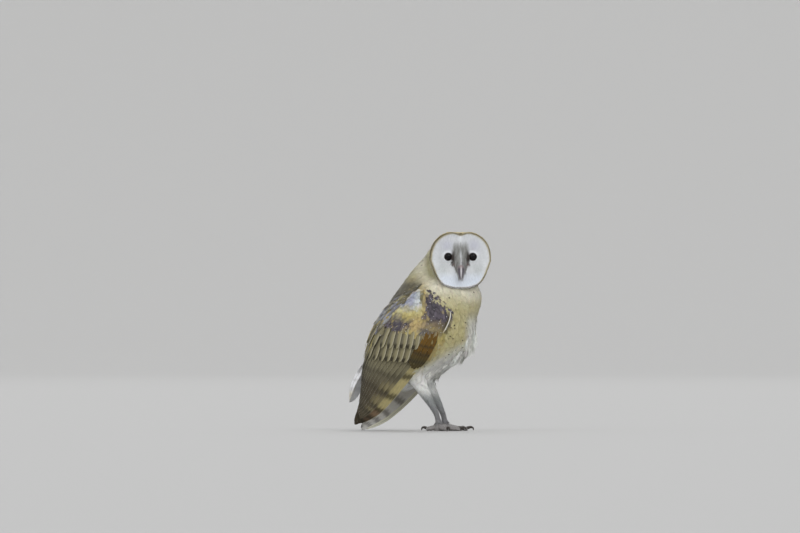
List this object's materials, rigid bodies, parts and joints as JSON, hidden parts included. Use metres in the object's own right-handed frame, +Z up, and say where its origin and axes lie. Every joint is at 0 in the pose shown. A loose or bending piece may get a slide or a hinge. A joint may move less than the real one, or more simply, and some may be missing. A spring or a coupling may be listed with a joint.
{
  "type": "barn owl",
  "caption": "Life-size barn owl standing upright with folded, drooping wings, its head turned to one side so that the heart-shaped face looks out over its shoulder.",
  "frame": {"origin": "on the floor under the middle of the bird's box", "axes": "+Z up, the breast faces -Y, the bird's right side faces -X and its left side +X"},
  "size_m": [0.1256, 0.2192, 0.2891],
  "materials": {
    "bill": "pinkish grey horn with a pale ridge",
    "eye": "wet black",
    "flight_feathers": "olive brown vanes with dark bars",
    "toe_skin": "grey-brown scaly skin",
    "face_feathers": "fine white feathers",
    "leg_feathers": "short white feathers thinning to bare grey-brown",
    "gold_feathers": "golden buff feathers with grey patches",
    "tail_feathers": "pale vanes with dark bars",
    "breast_feathers": "buff feathers with small dark spots, white on the belly",
    "claw": "dark horn"
  },
  "bodies": {
    "root": {"bill_lower": "bill", "bill_upper": "bill", "claw_hind_left": "claw", "claw_hind_right": "claw", "claw_inner_left": "claw", "claw_inner_right": "claw", "claw_middle_left": "claw", "claw_middle_right": "claw", "claw_outer_left": "claw", "claw_outer_right": "claw", "eye_left": "eye", "eye_right": "eye", "flight_left": "flight_feathers", "flight_right": "flight_feathers", "foot_left": "toe_skin", "foot_right": "toe_skin", "head": "face_feathers", "leg_left": "leg_feathers", "leg_right": "leg_feathers", "neck": "gold_feathers", "tail": "tail_feathers", "trunk": "breast_feathers", "wing_left": "gold_feathers", "wing_right": "gold_feathers"}
  },
  "joints": []
}
